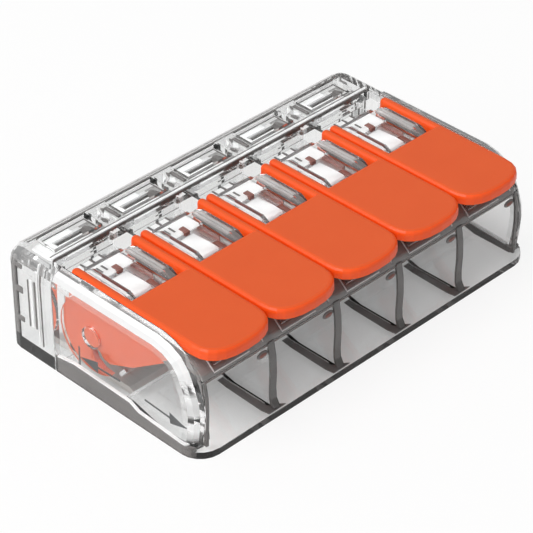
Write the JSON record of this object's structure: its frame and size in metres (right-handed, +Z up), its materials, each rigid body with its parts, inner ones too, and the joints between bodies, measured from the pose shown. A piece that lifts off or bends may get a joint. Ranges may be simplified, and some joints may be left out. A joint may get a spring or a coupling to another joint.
{
  "type": "lever wire connector",
  "caption": "Flat clear-bodied connector that joins stripped wires side by side, each held by a spring clamp that an orange lever opens.",
  "frame": {"origin": "centre of the underside, on the surface that the connector lies on", "axes": "+X across the five wire entries, -Y towards the side the wires enter, +Z up through the levers"},
  "size_m": [0.03, 0.0176, 0.0075],
  "materials": {
    "clear_plastic": "clear polycarbonate, polished",
    "orange_plastic": "satin moulded plastic",
    "spring_steel": "bright rolled strip",
    "tinned_copper": "tin-plated copper, satin"
  },
  "bodies": {
    "body": {"housing": "clear_plastic", "rear_cover": "clear_plastic", "busbar": "tinned_copper", "spring_1": "spring_steel", "spring_2": "spring_steel", "spring_3": "spring_steel", "spring_4": "spring_steel", "spring_5": "spring_steel"},
    "lever_1": {"lever_1": "orange_plastic"},
    "spring_leg_1": {"spring_leg_1": "spring_steel"},
    "lever_2": {"lever_2": "orange_plastic"},
    "spring_leg_2": {"spring_leg_2": "spring_steel"},
    "lever_3": {"lever_3": "orange_plastic"},
    "spring_leg_3": {"spring_leg_3": "spring_steel"},
    "lever_4": {"lever_4": "orange_plastic"},
    "spring_leg_4": {"spring_leg_4": "spring_steel"},
    "lever_5": {"lever_5": "orange_plastic"},
    "spring_leg_5": {"spring_leg_5": "spring_steel"}
  },
  "joints": [
    {"name": "lever_1_hinge", "type": "hinge", "parent": "body", "child": "lever_1", "pos_m": [-0.0112, 0.00133, 0.0039], "axis": [-1, 0, 0], "range_deg": [0, 90]},
    {"name": "spring_1_flex", "type": "hinge", "parent": "body", "child": "spring_leg_1", "pos_m": [-0.0112, -0.00317, 0.0054], "axis": [1, 0, 0], "range_deg": [0, 37]},
    {"name": "lever_2_hinge", "type": "hinge", "parent": "body", "child": "lever_2", "pos_m": [-0.0056, 0.00133, 0.0039], "axis": [-1, 0, 0], "range_deg": [0, 90]},
    {"name": "spring_2_flex", "type": "hinge", "parent": "body", "child": "spring_leg_2", "pos_m": [-0.0056, -0.00317, 0.0054], "axis": [1, 0, 0], "range_deg": [0, 37]},
    {"name": "lever_3_hinge", "type": "hinge", "parent": "body", "child": "lever_3", "pos_m": [0, 0.00133, 0.0039], "axis": [-1, 0, 0], "range_deg": [0, 90]},
    {"name": "spring_3_flex", "type": "hinge", "parent": "body", "child": "spring_leg_3", "pos_m": [0, -0.00317, 0.0054], "axis": [1, 0, 0], "range_deg": [0, 37]},
    {"name": "lever_4_hinge", "type": "hinge", "parent": "body", "child": "lever_4", "pos_m": [0.0056, 0.00133, 0.0039], "axis": [-1, 0, 0], "range_deg": [0, 90]},
    {"name": "spring_4_flex", "type": "hinge", "parent": "body", "child": "spring_leg_4", "pos_m": [0.0056, -0.00317, 0.0054], "axis": [1, 0, 0], "range_deg": [0, 37]},
    {"name": "lever_5_hinge", "type": "hinge", "parent": "body", "child": "lever_5", "pos_m": [0.0112, 0.00133, 0.0039], "axis": [-1, 0, 0], "range_deg": [0, 90]},
    {"name": "spring_5_flex", "type": "hinge", "parent": "body", "child": "spring_leg_5", "pos_m": [0.0112, -0.00317, 0.0054], "axis": [1, 0, 0], "range_deg": [0, 37]}
  ],
  "couplings": [
    {"joint": "spring_1_flex", "follows": "lever_1_hinge", "ratio": 0.411},
    {"joint": "spring_2_flex", "follows": "lever_2_hinge", "ratio": 0.411},
    {"joint": "spring_3_flex", "follows": "lever_3_hinge", "ratio": 0.411},
    {"joint": "spring_4_flex", "follows": "lever_4_hinge", "ratio": 0.411},
    {"joint": "spring_5_flex", "follows": "lever_5_hinge", "ratio": 0.411}
  ]
}
